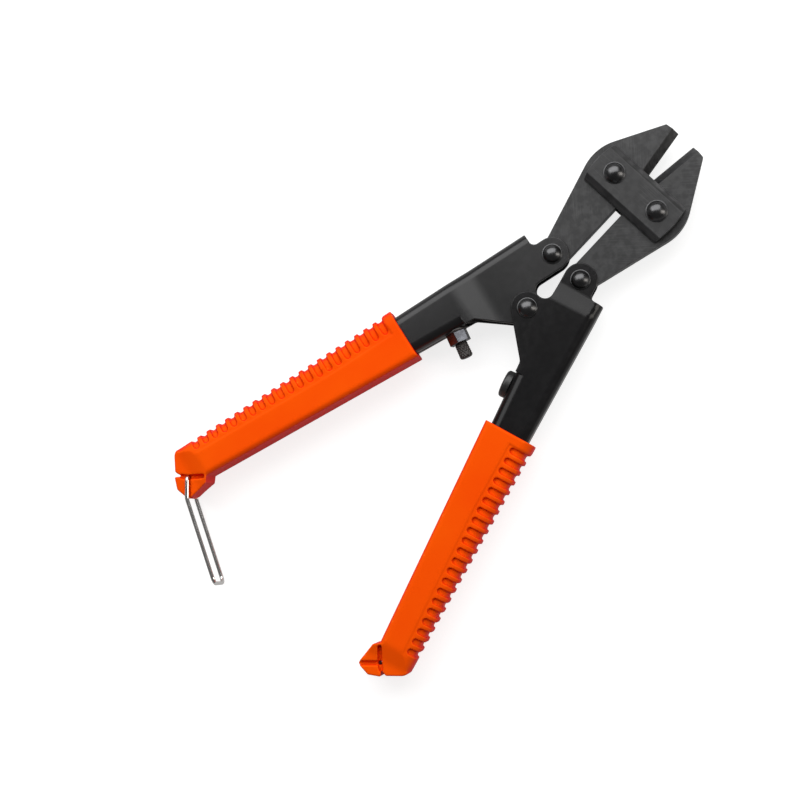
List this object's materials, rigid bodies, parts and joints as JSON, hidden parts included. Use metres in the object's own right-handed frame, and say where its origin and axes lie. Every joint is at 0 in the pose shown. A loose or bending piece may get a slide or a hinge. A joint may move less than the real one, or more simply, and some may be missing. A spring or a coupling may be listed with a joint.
{
  "type": "bolt cutters",
  "caption": "Small hand bolt cutters: gripped pressed-steel handles close bevelled jaws through a toggle linkage, with a return spring, stop screw and wire locking bail.",
  "frame": {"origin": "middle of the bottom of the tool's box, with the tool lying on its back and the handles sprung open", "axes": "+X along the tool to the blade tips, +Y towards the left handle, +Z along the rivets, up from the surface it lies on"},
  "size_m": [0.223, 0.1118, 0.017],
  "materials": {
    "jaw_steel": "black-oxide steel with fine grinding lines",
    "plate_steel": "black-oxide steel, satin",
    "rivet_black": "glossy black domes",
    "handle_paint": "satin black paint on pressed steel",
    "grip_orange": "satin moulded plastic",
    "spring_steel": "bright drawn steel",
    "screw_black": "black oxide, knurled",
    "nut_steel": "blued steel",
    "button_black": "satin black",
    "bail_wire": "bright nickel-plated wire"
  },
  "bodies": {
    "left_handle": {"left_handle": "handle_paint", "left_grip": "grip_orange", "stop_insert": "screw_black", "stop_washer": "screw_black", "lock_nut": "nut_steel", "stop_screw": "screw_black", "centre_rivet": "rivet_black", "centre_sleeve": "spring_steel", "return_spring": "spring_steel", "left_handle_rivet": "rivet_black"},
    "right_handle": {"right_handle": "handle_paint", "right_grip": "grip_orange", "stop_button": "button_black", "right_handle_rivet": "rivet_black"},
    "left_jaw": {"left_jaw": "jaw_steel"},
    "right_jaw": {"right_jaw": "jaw_steel"},
    "link_plates": {"front_link_plate": "plate_steel", "back_link_plate": "plate_steel", "left_link_rivet": "rivet_black", "right_link_rivet": "rivet_black"},
    "wire_bail": {"wire_bail": "bail_wire"}
  },
  "joints": [
    {"name": "handle_hinge", "type": "hinge", "parent": "left_handle", "child": "right_handle", "pos_m": [0.03218, 0, 0.0085], "axis": [0, 0, -1], "range_deg": [-3.8, 28.6], "stiffness_Nm_per_rad": 0.4, "deforming": ["return_spring"]},
    {"name": "left_jaw_hinge", "type": "hinge", "parent": "left_handle", "child": "left_jaw", "pos_m": [0.05159, 0.00661, 0.0085], "axis": [0, 0, -1], "range_deg": [-3.01, 22]},
    {"name": "right_jaw_hinge", "type": "hinge", "parent": "right_handle", "child": "right_jaw", "pos_m": [0.05159, -0.00661, 0.0085], "axis": [0, 0, 1], "range_deg": [-3.01, 22]},
    {"name": "link_hinge", "type": "hinge", "parent": "left_jaw", "child": "link_plates", "pos_m": [0.08618, 0.0098, 0.0085], "axis": [0, 0, 1], "range_deg": [-1.11, 7.7]},
    {"name": "bail_hinge", "type": "hinge", "parent": "left_handle", "child": "wire_bail", "pos_m": [-0.09079, 0.04631, 0.0085], "axis": [0, 0, 1], "range_deg": [-140, 15]}
  ],
  "couplings": [
    {"joint": "left_jaw_hinge", "follows": "handle_hinge", "ratio": 0.76573},
    {"joint": "right_jaw_hinge", "follows": "handle_hinge", "ratio": 0.76573},
    {"joint": "link_hinge", "follows": "handle_hinge", "ratio": 0.26573}
  ]
}
